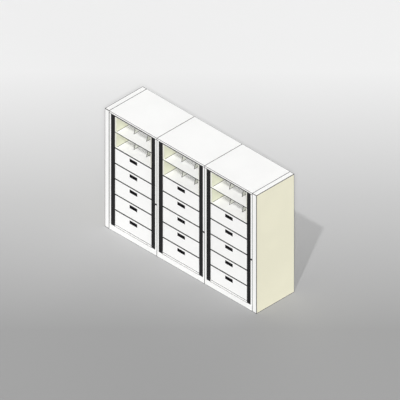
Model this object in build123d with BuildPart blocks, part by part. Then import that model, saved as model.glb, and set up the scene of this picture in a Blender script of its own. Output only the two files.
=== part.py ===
"""Bank of three linked rotary filing cabinets, with one end box on each side.

Each unit is an open-fronted steel bay.  A double-faced square carousel, the rotor, turns in it
on a vertical axis, so its drawers, its open shelves or its closed side can face the room.  All
lengths are in millimetres: +X runs along the bank, -Y is the front and +Z is up.  The origin is
on the floor, under the middle of the bank.
"""

from build123d import *
import os
from math import hypot, radians, sqrt, tan

# --- Bank ---------------------------------------------------------------------------------
UNITS = 3
SEAM = 7.0  # gap between neighbouring casings, filled by a gasket
GASKET_SETBACK = 3.0
GASKET_WIDTH = 15.0
END_WIDTH = 84.0  # box at each end, wide enough for the swinging rotor corners
END_POST_DEPTH = 30.0
END_EDGE_RADIUS = 5.0
SKIN_THICKNESS = 2.0
SKIN_MARGIN = 8.0  # skin's edge to the outside of the end box
CASING_SHEET = 1.5
PLINTH_HEIGHT = 101.0
PLINTH_LIP = 30.0  # flange turned in along the floor
PLINTH_WEB_SPACING = 320.0
PLINTH_WEB = 3.0
FASCIA_HEIGHT = 35.0
EDGE_RADIUS = 2.0  # folded outer edges of the casings

# --- Rotor --------------------------------------------------------------------------------
ROTOR_SIZE = 770.0
ROTOR_SHEET = 1.2
FLOOR_GAP = 3.0  # plinth to rotor
DECK_SKIRT = 32.0  # height of the bottom deck
TOP_GAP = 6.5  # rotor to top panel
TIERS = 7
DRAWERS = 5  # drawers fill the lowest tiers of the front face
TIER_PITCH = 279.5
BAND_HEIGHT = 18.0  # front edge of a shelf, a rail or the top deck
BAND_DEPTH = 20.0
PANEL_THICKNESS = 28.0
SPINE_THICKNESS = 24.0
HEM_HEIGHT = 14.0  # lip folded down where a shelf meets the spine

# --- Dividers of the open front tiers ------------------------------------------------------
DIVIDER_SPACING = 262.0
DIVIDER_THICKNESS = 1.0
DIVIDER_SETBACK = 143.0  # shelf front to divider foot
DIVIDER_HEIGHT = 228.0
DIVIDER_LEAN = 16.0  # degrees that the front edge leans back
DIVIDER_CORNER = 18.0

# --- Casing front -------------------------------------------------------------------------
FACE_SETBACK = 10.0  # rotor face behind the front of the plinth
JAMB_SETBACK = 3.0
JAMB_WIDTH = 36.0
JAMB_DEPTH = 70.0
GUARD_WIDTH = 75.0  # black pinch guard beside the opening
GUARD_OVERLAP = 1.0  # guard in front of the rotor's edge
GUARD_SETBACK = 1.0
GUARD_DEPTH = 64.0
GUARD_CLEARANCE = 3.0  # swinging corner to guard
GUARD_WALL = 2.5
GUARD_NOSE = 20.0  # solid inner edge of the guard

# --- Drawers ------------------------------------------------------------------------------
FRONT_THICKNESS = 19.0
FRONT_MARGIN = 3.0  # front's end to the rotor's side
FRONT_GAP = 1.5  # front to the bands above and below
DRAWER_SHEET = 1.2
TRAY_HEIGHT = 205.0
TRAY_LIFT = 14.0  # tray above the tier's floor line
TRAY_REAR_GAP = 18.0  # tray to spine
RUNNER_WIDTH = 14.0  # side panel to tray
RUNNER_HEIGHT = 44.0
RUNNER_FLANGE = 9.0
RUNNER_PLAY = 0.4
RUNNER_SHEET = 1.5
RUNNER_LIFT = 60.0  # tray bottom to runner
RUNNER_SETBACK = 4.0  # tray front to the runner's end
PULL_WIDTH = 158.0
PULL_HEIGHT = 60.0
PULL_DROP = 38.0  # top of the front to the pull
PULL_RIM = 6.0
PULL_DEPTH = 15.0
PULL_WALL = 2.0
PULL_LIP = 11.0  # finger lip that hangs from the top rim

# --- Bearings -----------------------------------------------------------------------------
RACE_RADIUS = 150.0
RACE_BORE = 110.0
RACE_HEIGHT = 15.0  # upper race, under the rotor's bottom deck
RACE_GAP = 0.3
BEARING_PLATE = 2.0
SPIGOT_RADIUS = 20.0
PIVOT_RADIUS = 12.0
RUNNING_FIT = 0.05  # radial
HUB_WALL = 14.0
HUB_GAP = 2.0  # hub to bearing plate, and pin ends to what is behind them
PIVOT_FLANGE_RADIUS = 60.0
PIVOT_FLANGE = 5.0

# --- Lock ---------------------------------------------------------------------------------
LOCK_TIER = 3  # the bolt shoots into the band under this shelf line
LOCK_DROP = 40.5  # bolt centre to lock centre
LOCK_INSET = 18.0  # edge of the opening to lock centre
BOLT_TRAVEL = 19.0
BOLT_ENGAGEMENT = 7.0
BOLT_INSET = 5.0  # rotor face to bolt
BOLT_THICKNESS = 5.0
BOLT_HEIGHT = 9.0
BOLT_PLAY = 0.3
YOKE_WALL = 3.0
YOKE_SLACK = 0.8  # crank pin to slot, each side
KEEPER_PLAY = 1.0
CRANK_PIN_RADIUS = 2.5
CRANK_THICKNESS = 2.0
CRANK_GAP = 0.6
PLUG_RADIUS = 8.0
BARREL_RADIUS = 11.0
BEZEL_RADIUS = 16.0
NUT_RADIUS = 15.0
NUT_THICKNESS = 4.0
KEYWAY_LENGTH = 9.0
KEYWAY_WIDTH = 1.6
KEYWAY_DEPTH = 3.0

# --- Places worked out from the sizes ------------------------------------------------------
rotor_half = ROTOR_SIZE / 2
swing_radius = hypot(rotor_half, rotor_half)
guard_radius = swing_radius + GUARD_CLEARANCE
guard_inner = rotor_half - GUARD_OVERLAP
jamb_inner = guard_inner + GUARD_WIDTH
bay_half = jamb_inner + JAMB_WIDTH
bay_pitch = 2 * bay_half + SEAM
depth_half = rotor_half + FACE_SETBACK
jamb_front = depth_half - JAMB_SETBACK
guard_front = depth_half - GUARD_SETBACK
deck_bottom = PLINTH_HEIGHT + FLOOR_GAP
deck_top = deck_bottom + DECK_SKIRT
rotor_top = deck_top + TIERS * TIER_PITCH
opening_top = rotor_top + TOP_GAP
height = opening_top + FASCIA_HEIGHT
panel_inner = rotor_half - PANEL_THICKNESS
panel_half_depth = rotor_half - BAND_DEPTH
spine_half = SPINE_THICKNESS / 2
spine_top = rotor_top - BAND_HEIGHT

bay_centres = [(i - (UNITS - 1) / 2) * bay_pitch for i in range(UNITS)]
end_inner = bay_centres[-1] + bay_half + SEAM
end_outer = end_inner + END_WIDTH

lock_x = jamb_inner + LOCK_INSET
bolt_z = deck_top + LOCK_TIER * TIER_PITCH - BAND_HEIGHT / 2
lock_z = bolt_z - LOCK_DROP
bolt_front = rotor_half - BOLT_INSET
bolt_back = bolt_front - BOLT_THICKNESS
bolt_tip = rotor_half - BOLT_ENGAGEMENT + BOLT_TRAVEL
crank_radius = BOLT_TRAVEL / sqrt(2)
crank_back = bolt_front + CRANK_GAP
crank_front = crank_back + CRANK_THICKNESS
barrel_back = crank_front + CRANK_GAP / 2


def shelf_line(tier):
    """Height of the shelf surface that a tier stands on."""
    return deck_top + tier * TIER_PITCH


def level(z, x=0.0):
    """Horizontal plane at a height, centred on a bay."""
    return Plane(origin=(x, 0, z))


def facing(y, x=0.0):
    """Upright plane seen from the front: local x is +X, local y is +Z, its normal is -Y."""
    return Plane(origin=(x, y, 0), x_dir=(1, 0, 0), z_dir=(0, -1, 0))


def across(x):
    """Upright plane across the bank: local x is +Y, local y is +Z, its normal is +X."""
    return Plane(origin=(x, 0, 0), x_dir=(0, 1, 0), z_dir=(1, 0, 0))


def write(piece, name):
    piece.label = name
    export_step(piece, f"parts/{name}.step")


def group(name, *pieces):
    """Writes separate solids as one node."""
    write(Compound(children=list(pieces)), name)


os.makedirs("parts", exist_ok=True)
bay_places = [(x, 0) for x in bay_centres]

# --- Base plinths -------------------------------------------------------------------------
# Steel boxes, open underneath: a deck sheet on four skirts with lips along the floor, and two
# webs under the bearing.
skirt_height = PLINTH_HEIGHT - CASING_SHEET
with BuildPart() as plinth_decks:
    with BuildSketch(level(skirt_height)):
        with Locations(*bay_places):
            RectangleRounded(2 * bay_half, 2 * depth_half, EDGE_RADIUS)
    extrude(amount=CASING_SHEET)

with BuildPart() as long_skirts:
    for bay_x in bay_centres:
        with BuildSketch(across(bay_x)):
            for face in (-1, 1):
                with Locations((face * (depth_half - CASING_SHEET / 2), skirt_height / 2)):
                    Rectangle(CASING_SHEET, skirt_height)
                with Locations((face * (depth_half - PLINTH_LIP / 2), CASING_SHEET / 2)):
                    Rectangle(PLINTH_LIP, CASING_SHEET)
        extrude(amount=bay_half, both=True)
    skirt_corners = [
        edge
        for edge in long_skirts.edges().filter_by(Axis.Z)
        if abs(edge.center().Y) > depth_half - CASING_SHEET / 2
    ]
    fillet(skirt_corners, CASING_SHEET / 2)

with BuildPart() as side_skirts:
    for bay_x in bay_centres:
        with BuildSketch(facing(0, bay_x)):
            with Locations((0, skirt_height / 2)):
                with GridLocations(2 * bay_half - CASING_SHEET, 0, 2, 1):
                    Rectangle(CASING_SHEET, skirt_height)
        extrude(amount=depth_half - CASING_SHEET, both=True)
        with BuildSketch(facing(0, bay_x)):
            with Locations((0, CASING_SHEET / 2)):
                with GridLocations(2 * bay_half - PLINTH_LIP, 0, 2, 1):
                    Rectangle(PLINTH_LIP, CASING_SHEET)
        extrude(amount=depth_half - PLINTH_LIP, both=True)

with BuildPart() as plinth_webs:
    with BuildSketch(level(CASING_SHEET)):
        for bay_x in bay_centres:
            with Locations((bay_x, 0)):
                with GridLocations(PLINTH_WEB_SPACING, 0, 2, 1):
                    Rectangle(PLINTH_WEB, 2 * (depth_half - CASING_SHEET))
    extrude(amount=skirt_height - CASING_SHEET)

plinth_sheets = [plinth_decks, long_skirts, side_skirts, plinth_webs]
group("base_plinths", *[solid for sheet in plinth_sheets for solid in sheet.part.solids()])

# --- Top panels ---------------------------------------------------------------------------
# Shallow pans turned down on all four sides: the front turn is the fascia.
with BuildPart() as top_panels:
    with BuildSketch(level(opening_top)):
        with Locations(*bay_places):
            Rectangle(2 * bay_half, 2 * depth_half)
    extrude(amount=FASCIA_HEIGHT)
    top_edges = top_panels.edges().group_by(Axis.Z)[-1]
    corner_edges = top_panels.edges().filter_by(Axis.Z)
    fillet(top_edges + corner_edges, EDGE_RADIUS)
    with BuildSketch(level(opening_top)):
        with Locations(*bay_places):
            Rectangle(2 * (bay_half - CASING_SHEET), 2 * (depth_half - CASING_SHEET))
    extrude(amount=FASCIA_HEIGHT - CASING_SHEET, mode=Mode.SUBTRACT)
write(top_panels.part, "top_panels")

# --- Jamb posts ---------------------------------------------------------------------------
# Four rectangular tubes per bay, from the plinth to the rim of the top panel.  The right
# front post carries the lock, and its inner wall is slotted for the bolt.
jamb_centre = jamb_inner + JAMB_WIDTH / 2
jamb_middle = jamb_front - JAMB_DEPTH / 2
with BuildPart() as jamb_posts:
    with BuildSketch(level(PLINTH_HEIGHT)):
        for bay_x in bay_centres:
            with Locations((bay_x, 0)):
                with GridLocations(2 * jamb_centre, 2 * jamb_middle, 2, 2):
                    RectangleRounded(JAMB_WIDTH, JAMB_DEPTH, EDGE_RADIUS)
                    Rectangle(
                        JAMB_WIDTH - 2 * CASING_SHEET, JAMB_DEPTH - 2 * CASING_SHEET, mode=Mode.SUBTRACT
                    )
    extrude(amount=opening_top - PLINTH_HEIGHT)
    with BuildSketch(facing(-jamb_front)):
        with Locations(*[(bay_x + lock_x, lock_z) for bay_x in bay_centres]):
            Circle(BARREL_RADIUS + BOLT_PLAY)
    extrude(amount=-2 * CASING_SHEET, mode=Mode.SUBTRACT)
    with BuildSketch(facing(-bolt_front - BOLT_PLAY)):
        with Locations(*[(bay_x + jamb_inner, bolt_z) for bay_x in bay_centres]):
            Rectangle(4 * CASING_SHEET, BOLT_HEIGHT + 2 * BOLT_PLAY)
    extrude(amount=-(BOLT_THICKNESS + 2 * BOLT_PLAY), mode=Mode.SUBTRACT)
write(jamb_posts.part, "jamb_posts")


# --- Pinch guards -------------------------------------------------------------------------
def guard_outline(nose, front, outer, back, radius):
    """Closed outline of a guard's section: flat in front, and concave where the corner swings."""
    nose_point = (nose, -sqrt(radius**2 - nose**2))
    tail_point = (sqrt(radius**2 - back**2), -back)
    return [nose_point, (nose, -front), (outer, -front), (outer, -back), tail_point]


def guard_section(nose, front, outer, back, radius):
    """Section of the right front guard as a face, made from its outline and one arc."""
    points = guard_outline(nose, front, outer, back, radius)
    middle = (nose + sqrt(radius**2 - back**2)) / 2
    crown = (middle, -sqrt(radius**2 - middle**2))
    with BuildSketch() as section:
        with BuildLine():
            Polyline(*points)
            ThreePointArc(points[-1], crown, points[0])
        make_face()
    return section.sketch


guard_back = guard_front - GUARD_DEPTH
guard_shell = guard_section(guard_inner, guard_front, jamb_inner, guard_back, guard_radius)
guard_hollow = guard_section(
    guard_inner + GUARD_NOSE,
    guard_front - GUARD_WALL,
    jamb_inner - GUARD_WALL,
    guard_back + GUARD_WALL,
    guard_radius + GUARD_WALL,
)
with BuildPart() as pinch_guards:
    for bay_x in bay_centres:
        with BuildSketch(level(PLINTH_HEIGHT, bay_x)):
            add(guard_shell)
            add(guard_hollow, mode=Mode.SUBTRACT)
            mirror(about=Plane.YZ)
            mirror(about=Plane.XZ)
        extrude(amount=opening_top - PLINTH_HEIGHT)
    slot_middle = (bolt_tip - BOLT_TRAVEL + jamb_inner) / 2
    with BuildSketch(facing(-bolt_front - KEEPER_PLAY)):
        with Locations(*[(bay_x + slot_middle, bolt_z) for bay_x in bay_centres]):
            Rectangle(jamb_inner - bolt_tip + BOLT_TRAVEL + 1, BOLT_HEIGHT + 2 * KEEPER_PLAY)
    extrude(amount=-(BOLT_THICKNESS + 2 * KEEPER_PLAY), mode=Mode.SUBTRACT)
write(pinch_guards.part, "pinch_guards")

# --- End boxes ----------------------------------------------------------------------------
# Two corner posts, a cap and a base at each end.  The box is open towards the bay, because the
# rotor's corners swing into it, and its outer side is rebated for the end skin.
post_back = depth_half - END_POST_DEPTH
skin_seat = end_outer - SKIN_THICKNESS
end_middle = (end_inner + end_outer) / 2
end_wall = END_WIDTH - SKIN_THICKNESS - CASING_SHEET  # bay side to the inside of the outer wall


def cut_skin_seat():
    """Rebates both outer sides of the end boxes."""
    with Locations((-end_outer, 0, height / 2), (end_outer, 0, height / 2)):
        Box(
            2 * SKIN_THICKNESS,
            2 * (depth_half - SKIN_MARGIN),
            height - 2 * SKIN_MARGIN,
            mode=Mode.SUBTRACT,
        )


with BuildPart() as end_posts:
    with BuildSketch():
        with GridLocations(2 * end_middle, 2 * depth_half - END_POST_DEPTH, 2, 2):
            Rectangle(END_WIDTH, END_POST_DEPTH)
    extrude(amount=height)
    outer_corners = [
        edge
        for edge in end_posts.edges().filter_by(Axis.Z)
        if abs(edge.center().X) > end_middle and abs(edge.center().Y) > post_back + 1
    ]
    fillet(outer_corners, END_EDGE_RADIUS)
    with BuildSketch():
        with GridLocations(
            2 * end_inner + end_wall + CASING_SHEET, 2 * depth_half - END_POST_DEPTH, 2, 2
        ):
            Rectangle(end_wall - CASING_SHEET, END_POST_DEPTH - 2 * CASING_SHEET)
    extrude(amount=height - CASING_SHEET, mode=Mode.SUBTRACT)
    cut_skin_seat()

with BuildPart() as end_pans:
    with BuildSketch(facing(post_back)):
        with Locations((-end_middle, PLINTH_HEIGHT / 2), (end_middle, PLINTH_HEIGHT / 2)):
            Rectangle(END_WIDTH, PLINTH_HEIGHT)
        cap_middle = height - FASCIA_HEIGHT / 2
        with Locations((-end_middle, cap_middle), (end_middle, cap_middle)):
            Rectangle(END_WIDTH, FASCIA_HEIGHT)
        hollow_x = end_inner + end_wall / 2
        with Locations((-hollow_x, PLINTH_HEIGHT / 2), (hollow_x, PLINTH_HEIGHT / 2)):
            Rectangle(end_wall, PLINTH_HEIGHT - 2 * CASING_SHEET, mode=Mode.SUBTRACT)
        with Locations((-hollow_x, cap_middle), (hollow_x, cap_middle)):
            Rectangle(end_wall, FASCIA_HEIGHT - 2 * CASING_SHEET, mode=Mode.SUBTRACT)
    extrude(amount=2 * post_back)
    cut_skin_seat()
group("end_boxes", *end_posts.part.solids(), *end_pans.part.solids())

# --- End skins ----------------------------------------------------------------------------
with BuildPart() as end_skins:
    with Locations(
        (-skin_seat - SKIN_THICKNESS / 2, 0, height / 2), (skin_seat + SKIN_THICKNESS / 2, 0, height / 2)
    ):
        Box(SKIN_THICKNESS, 2 * (depth_half - SKIN_MARGIN), height - 2 * SKIN_MARGIN)
write(end_skins.part, "end_skins")

# --- Seam gaskets -------------------------------------------------------------------------
# Foam strips between the casings, set back from the outer faces: two uprights and two
# crosspieces at each seam.
seam_places = [x + bay_half for x in bay_centres] + [bay_centres[0] - bay_half - SEAM]
gasket_depth = 2 * (depth_half - GASKET_SETBACK)
gasket_height = height - 2 * GASKET_SETBACK
with BuildPart() as gasket_uprights:
    for seam_x in seam_places:
        with BuildSketch(across(seam_x)):
            with Locations((0, height / 2)):
                with GridLocations(gasket_depth - GASKET_WIDTH, 0, 2, 1):
                    Rectangle(GASKET_WIDTH, gasket_height)
        extrude(amount=SEAM)
with BuildPart() as gasket_crosspieces:
    for seam_x in seam_places:
        with BuildSketch(across(seam_x)):
            with Locations((0, height / 2)):
                with GridLocations(0, gasket_height - GASKET_WIDTH, 1, 2):
                    Rectangle(gasket_depth - 2 * GASKET_WIDTH, GASKET_WIDTH)
        extrude(amount=SEAM)
group("seam_gaskets", *gasket_uprights.part.solids(), *gasket_crosspieces.part.solids())

# --- Rotor bearings -----------------------------------------------------------------------
# On each plinth a lower race with a centring spigot carries the rotor.  A pivot pin under the
# top panel holds it upright.
deck_ceiling = deck_top - ROTOR_SHEET
lower_race_top = deck_ceiling - RACE_HEIGHT - RACE_GAP
spigot_top = deck_ceiling - HUB_GAP
plate_top = PLINTH_HEIGHT + BEARING_PLATE
roof = height - CASING_SHEET
pivot_tip = spine_top + HUB_GAP
with BuildPart() as rotor_bearings:
    for bay_x in bay_centres:
        with BuildSketch(facing(0, bay_x)):
            with BuildLine():
                Polyline(
                    (0, PLINTH_HEIGHT),
                    (RACE_RADIUS, PLINTH_HEIGHT),
                    (RACE_RADIUS, lower_race_top),
                    (RACE_BORE, lower_race_top),
                    (RACE_BORE, plate_top),
                    (SPIGOT_RADIUS, plate_top),
                    (SPIGOT_RADIUS, spigot_top),
                    (0, spigot_top),
                    close=True,
                )
            make_face()
            with BuildLine():
                Polyline(
                    (0, roof),
                    (PIVOT_FLANGE_RADIUS, roof),
                    (PIVOT_FLANGE_RADIUS, roof - PIVOT_FLANGE),
                    (PIVOT_RADIUS, roof - PIVOT_FLANGE),
                    (PIVOT_RADIUS, pivot_tip),
                    (0, pivot_tip),
                    close=True,
                )
            make_face()
        revolve(axis=Axis((bay_x, 0, 0), (0, 0, 1)))
write(rotor_bearings.part, "rotor_bearings")

# --- Lock barrels -------------------------------------------------------------------------
lock_places = [(bay_x + lock_x, lock_z) for bay_x in bay_centres]
nut_front = jamb_front - CASING_SHEET
with BuildPart() as lock_barrels:
    with BuildSketch(facing(-depth_half)):
        with Locations(*lock_places):
            Circle(BEZEL_RADIUS)
    extrude(amount=-JAMB_SETBACK)
    with BuildSketch(facing(-jamb_front)):
        with Locations(*lock_places):
            Circle(BARREL_RADIUS)
    extrude(amount=barrel_back - jamb_front)
    with BuildSketch(facing(-nut_front)):
        with Locations(*lock_places):
            RegularPolygon(NUT_RADIUS, 6, rotation=30)
    extrude(amount=-NUT_THICKNESS)
    with BuildSketch(facing(-depth_half)):
        with Locations(*lock_places):
            Circle(PLUG_RADIUS + RUNNING_FIT)
    extrude(amount=barrel_back - depth_half, mode=Mode.SUBTRACT)
write(lock_barrels.part, "lock_barrels")


# --- Lock plugs and bolts -----------------------------------------------------------------
def lock_plug(centre_x):
    """Key plug with a crank on its inner end, and the pin that drives the bolt."""
    reach = BOLT_TRAVEL / 2
    with BuildPart() as plug:
        with BuildSketch(facing(-depth_half, centre_x)):
            with Locations((0, lock_z)):
                Circle(PLUG_RADIUS)
        extrude(amount=crank_front - depth_half)
        with BuildSketch(facing(-crank_front, centre_x)):
            with Locations((reach / 2, lock_z + reach / 2)):
                SlotCenterToCenter(crank_radius, 2 * CRANK_PIN_RADIUS + 2 * CRANK_THICKNESS, rotation=45)
        extrude(amount=-CRANK_THICKNESS)
        with BuildSketch(facing(-crank_back, centre_x)):
            with Locations((reach, lock_z + reach)):
                Circle(CRANK_PIN_RADIUS)
        extrude(amount=bolt_back - crank_back)
        with BuildSketch(facing(-depth_half, centre_x)):
            with Locations((0, lock_z)):
                Rectangle(KEYWAY_WIDTH, KEYWAY_LENGTH)
        extrude(amount=-KEYWAY_DEPTH, mode=Mode.SUBTRACT)
    return plug.part


def lock_bolt(bay_x):
    """Flat bolt: a toe that shoots towards the rotor, and a yoke with an upright slot."""
    slot_x = lock_x + BOLT_TRAVEL / 2
    slot_half_width = CRANK_PIN_RADIUS + YOKE_SLACK
    slot_low = lock_z + BOLT_TRAVEL / 2 - slot_half_width
    slot_high = lock_z + crank_radius + slot_half_width
    yoke_left = slot_x - slot_half_width - YOKE_WALL
    yoke_right = slot_x + slot_half_width + YOKE_WALL
    toe_low = bolt_z - BOLT_HEIGHT / 2
    toe_high = bolt_z + BOLT_HEIGHT / 2
    with BuildPart() as bolt:
        with BuildSketch(facing(-bolt_front, bay_x)):
            with BuildLine():
                Polyline(
                    (bolt_tip, toe_low),
                    (yoke_left, toe_low),
                    (yoke_left, slot_low - YOKE_WALL),
                    (yoke_right, slot_low - YOKE_WALL),
                    (yoke_right, toe_high),
                    (bolt_tip, toe_high),
                    close=True,
                )
            make_face()
            with Locations((slot_x, (slot_low + slot_high) / 2)):
                Rectangle(2 * slot_half_width, slot_high - slot_low, mode=Mode.SUBTRACT)
        extrude(amount=-BOLT_THICKNESS)
    return bolt.part


for number, bay_x in enumerate(bay_centres, start=1):
    write(lock_plug(bay_x + lock_x), f"lock_plug_{number}")
    write(lock_bolt(bay_x), f"lock_bolt_{number}")


# --- Rotor side panels --------------------------------------------------------------------
# Hollow folded panels.  Where a tier is open, a channel brings the panel's edge out to the
# rotor's face; where a drawer is, the drawer front covers the edge.
def side_panels(bay_x):
    centre = rotor_half - PANEL_THICKNESS / 2
    hollow = PANEL_THICKNESS - 2 * ROTOR_SHEET
    with BuildPart() as panels:
        with BuildSketch(level(deck_top, bay_x)):
            with GridLocations(2 * centre, 0, 2, 1):
                Rectangle(PANEL_THICKNESS, 2 * panel_half_depth)
                Rectangle(hollow, 2 * (panel_half_depth - ROTOR_SHEET), mode=Mode.SUBTRACT)
        extrude(amount=spine_top - deck_top)
        open_tiers = [(-1, tier) for tier in range(DRAWERS, TIERS)] + [(1, tier) for tier in range(TIERS)]
        for face, tier in open_tiers:
            with BuildSketch(level(shelf_line(tier), bay_x)):
                channel_y = face * (rotor_half - BAND_DEPTH / 2)
                with Locations((-centre, channel_y), (centre, channel_y)):
                    Rectangle(PANEL_THICKNESS, BAND_DEPTH)
                hollow_y = channel_y - face * ROTOR_SHEET
                with Locations((-centre, hollow_y), (centre, hollow_y)):
                    Rectangle(hollow, BAND_DEPTH, mode=Mode.SUBTRACT)
            extrude(amount=TIER_PITCH - BAND_HEIGHT)
    return panels.part


def runner_rails(bay_x):
    """Channels on the side panels that the drawers' sliders run in."""
    rail_front = rotor_half - FRONT_THICKNESS - RUNNER_SETBACK
    rail_back = spine_half + TRAY_REAR_GAP
    with BuildPart() as rails:
        with BuildSketch(facing(-rail_front, bay_x)):
            for tier in range(DRAWERS):
                rail_z = shelf_line(tier) + TRAY_LIFT + RUNNER_LIFT
                for side in (-1, 1):
                    with Locations((side * (panel_inner - RUNNER_FLANGE / 2), rail_z)):
                        Rectangle(RUNNER_FLANGE, RUNNER_HEIGHT)
                    with Locations((side * (panel_inner - RUNNER_FLANGE / 2 - RUNNER_SHEET), rail_z)):
                        Rectangle(RUNNER_FLANGE, RUNNER_HEIGHT - 2 * RUNNER_SHEET, mode=Mode.SUBTRACT)
        extrude(amount=rail_back - rail_front)
    return rails.part


# --- Rotor decks --------------------------------------------------------------------------
# Square pans at the bottom and the top, each with its hub.  The bottom deck also carries the
# upper race of the bearing.
def decks(bay_x):
    inside = ROTOR_SIZE - 2 * ROTOR_SHEET
    with BuildPart() as bottom_deck:
        with BuildSketch(level(deck_bottom, bay_x)):
            Rectangle(ROTOR_SIZE, ROTOR_SIZE)
        extrude(amount=DECK_SKIRT)
        with BuildSketch(level(deck_bottom, bay_x)):
            Rectangle(inside, inside)
        extrude(amount=DECK_SKIRT - ROTOR_SHEET, mode=Mode.SUBTRACT)
        with BuildSketch(level(deck_ceiling, bay_x)):
            Circle(RACE_RADIUS)
            Circle(RACE_BORE, mode=Mode.SUBTRACT)
        extrude(amount=-RACE_HEIGHT)
        with BuildSketch(level(deck_ceiling, bay_x)):
            Circle(SPIGOT_RADIUS + RUNNING_FIT + HUB_WALL)
            Circle(SPIGOT_RADIUS + RUNNING_FIT, mode=Mode.SUBTRACT)
        extrude(amount=plate_top + HUB_GAP - deck_ceiling)
    with BuildPart() as top_deck:
        with BuildSketch(level(spine_top, bay_x)):
            Rectangle(ROTOR_SIZE, ROTOR_SIZE)
        extrude(amount=BAND_HEIGHT)
        with BuildSketch(level(spine_top, bay_x)):
            Rectangle(inside, inside)
            Circle(PIVOT_RADIUS + RUNNING_FIT + HUB_WALL, mode=Mode.SUBTRACT)
        extrude(amount=BAND_HEIGHT - ROTOR_SHEET, mode=Mode.SUBTRACT)
        with BuildSketch(level(spine_top, bay_x)):
            Circle(PIVOT_RADIUS + RUNNING_FIT)
        extrude(amount=BAND_HEIGHT, mode=Mode.SUBTRACT)
    return bottom_deck.part, top_deck.part


# --- Rotor spine --------------------------------------------------------------------------
# Double wall between the front and the rear tiers.
def spine(bay_x):
    with BuildPart() as wall:
        with BuildSketch(level(deck_top, bay_x)):
            Rectangle(2 * panel_inner, SPINE_THICKNESS)
            Rectangle(
                2 * (panel_inner - ROTOR_SHEET), SPINE_THICKNESS - 2 * ROTOR_SHEET, mode=Mode.SUBTRACT
            )
        extrude(amount=spine_top - deck_top)
    return wall.part


# --- Rotor shelves ------------------------------------------------------------------------
# Every tier line has a channel-shaped band over the full width.  Behind it, a tier that is open
# has a shelf to the spine.  The lock tier's bands have keeper holes for the bolt.
def shelves(bay_x):
    with BuildPart() as shelf_set:
        for tier in range(1, TIERS):
            line = shelf_line(tier)
            for face in (-1, 1):
                band_middle = face * (rotor_half - BAND_DEPTH / 2)
                with BuildSketch(across(bay_x)):
                    with Locations((band_middle, line - BAND_HEIGHT / 2)):
                        Rectangle(BAND_DEPTH, BAND_HEIGHT)
                    with Locations((band_middle - face * ROTOR_SHEET, line - BAND_HEIGHT / 2)):
                        Rectangle(BAND_DEPTH, BAND_HEIGHT - 2 * ROTOR_SHEET, mode=Mode.SUBTRACT)
                extrude(amount=rotor_half, both=True)
                if face < 0 and tier < DRAWERS:
                    continue
                sheet_middle = face * (panel_half_depth + spine_half) / 2
                with BuildSketch(across(bay_x)):
                    with Locations((sheet_middle, line - ROTOR_SHEET / 2)):
                        Rectangle(panel_half_depth - spine_half, ROTOR_SHEET)
                    with Locations((face * (spine_half + ROTOR_SHEET / 2), line - HEM_HEIGHT / 2)):
                        Rectangle(ROTOR_SHEET, HEM_HEIGHT)
                extrude(amount=panel_inner, both=True)
        keeper_x = (bolt_front + bolt_back) / 2
        for face in (-1, 1):
            with BuildSketch(facing(face * rotor_half, bay_x)):
                with Locations((face * keeper_x, bolt_z)):
                    Rectangle(BOLT_THICKNESS + 2 * KEEPER_PLAY, BOLT_HEIGHT + 2 * KEEPER_PLAY)
            extrude(amount=2 * ROTOR_SHEET, both=True, mode=Mode.SUBTRACT)
    return shelf_set.part


# --- Dividers -----------------------------------------------------------------------------
def dividers(bay_x):
    """Upright plates in the open front tiers, with a front edge that leans back."""
    foot = DIVIDER_SETBACK - rotor_half
    head = foot + DIVIDER_HEIGHT * tan(radians(DIVIDER_LEAN))
    with BuildPart() as plates:
        for tier in range(DRAWERS, TIERS):
            line = shelf_line(tier)
            for side in (-1, 1):
                plate_x = bay_x + side * DIVIDER_SPACING / 2
                with BuildSketch(across(plate_x)):
                    with BuildLine():
                        FilletPolyline(
                            (foot, line),
                            (head, line + DIVIDER_HEIGHT),
                            (-spine_half, line + DIVIDER_HEIGHT),
                            radius=DIVIDER_CORNER,
                        )
                        Polyline((-spine_half, line + DIVIDER_HEIGHT), (-spine_half, line), (foot, line))
                    make_face()
                extrude(amount=DIVIDER_THICKNESS / 2, both=True)
    return plates.part


for number, bay_x in enumerate(bay_centres, start=1):
    group(
        f"rotor_{number}_side_panels", *side_panels(bay_x).solids(), *runner_rails(bay_x).solids()
    )
    group(f"rotor_{number}_decks", *decks(bay_x))
    write(spine(bay_x), f"rotor_{number}_spine")
    write(shelves(bay_x), f"rotor_{number}_shelves")
    write(dividers(bay_x), f"rotor_{number}_dividers")


# --- Drawers ------------------------------------------------------------------------------
front_width = 2 * (rotor_half - FRONT_MARGIN)
front_height = TIER_PITCH - BAND_HEIGHT - 2 * FRONT_GAP
tray_front = rotor_half - FRONT_THICKNESS
tray_back = spine_half + TRAY_REAR_GAP
tray_half = panel_inner - RUNNER_WIDTH
tray_length = tray_front - tray_back
tray_middle = -(tray_front + tray_back) / 2


def pull_centre(tier):
    return shelf_line(tier) + FRONT_GAP + front_height - PULL_DROP - PULL_HEIGHT / 2


def drawer_front(bay_x, tier):
    """Double-walled front with the window that the pull sits in."""
    middle = shelf_line(tier) + FRONT_GAP + front_height / 2
    with BuildPart() as front:
        with BuildSketch(facing(-rotor_half, bay_x)):
            with Locations((0, middle)):
                Rectangle(front_width, front_height)
        extrude(amount=-FRONT_THICKNESS)
        with BuildSketch(facing(-rotor_half + DRAWER_SHEET, bay_x)):
            with Locations((0, middle)):
                Rectangle(front_width - 2 * DRAWER_SHEET, front_height - 2 * DRAWER_SHEET)
        extrude(amount=2 * DRAWER_SHEET - FRONT_THICKNESS, mode=Mode.SUBTRACT)
        with BuildSketch(facing(-rotor_half, bay_x)):
            with Locations((0, pull_centre(tier))):
                Rectangle(PULL_WIDTH, PULL_HEIGHT)
        extrude(amount=-2 * DRAWER_SHEET, mode=Mode.SUBTRACT)
    return front.part


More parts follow.
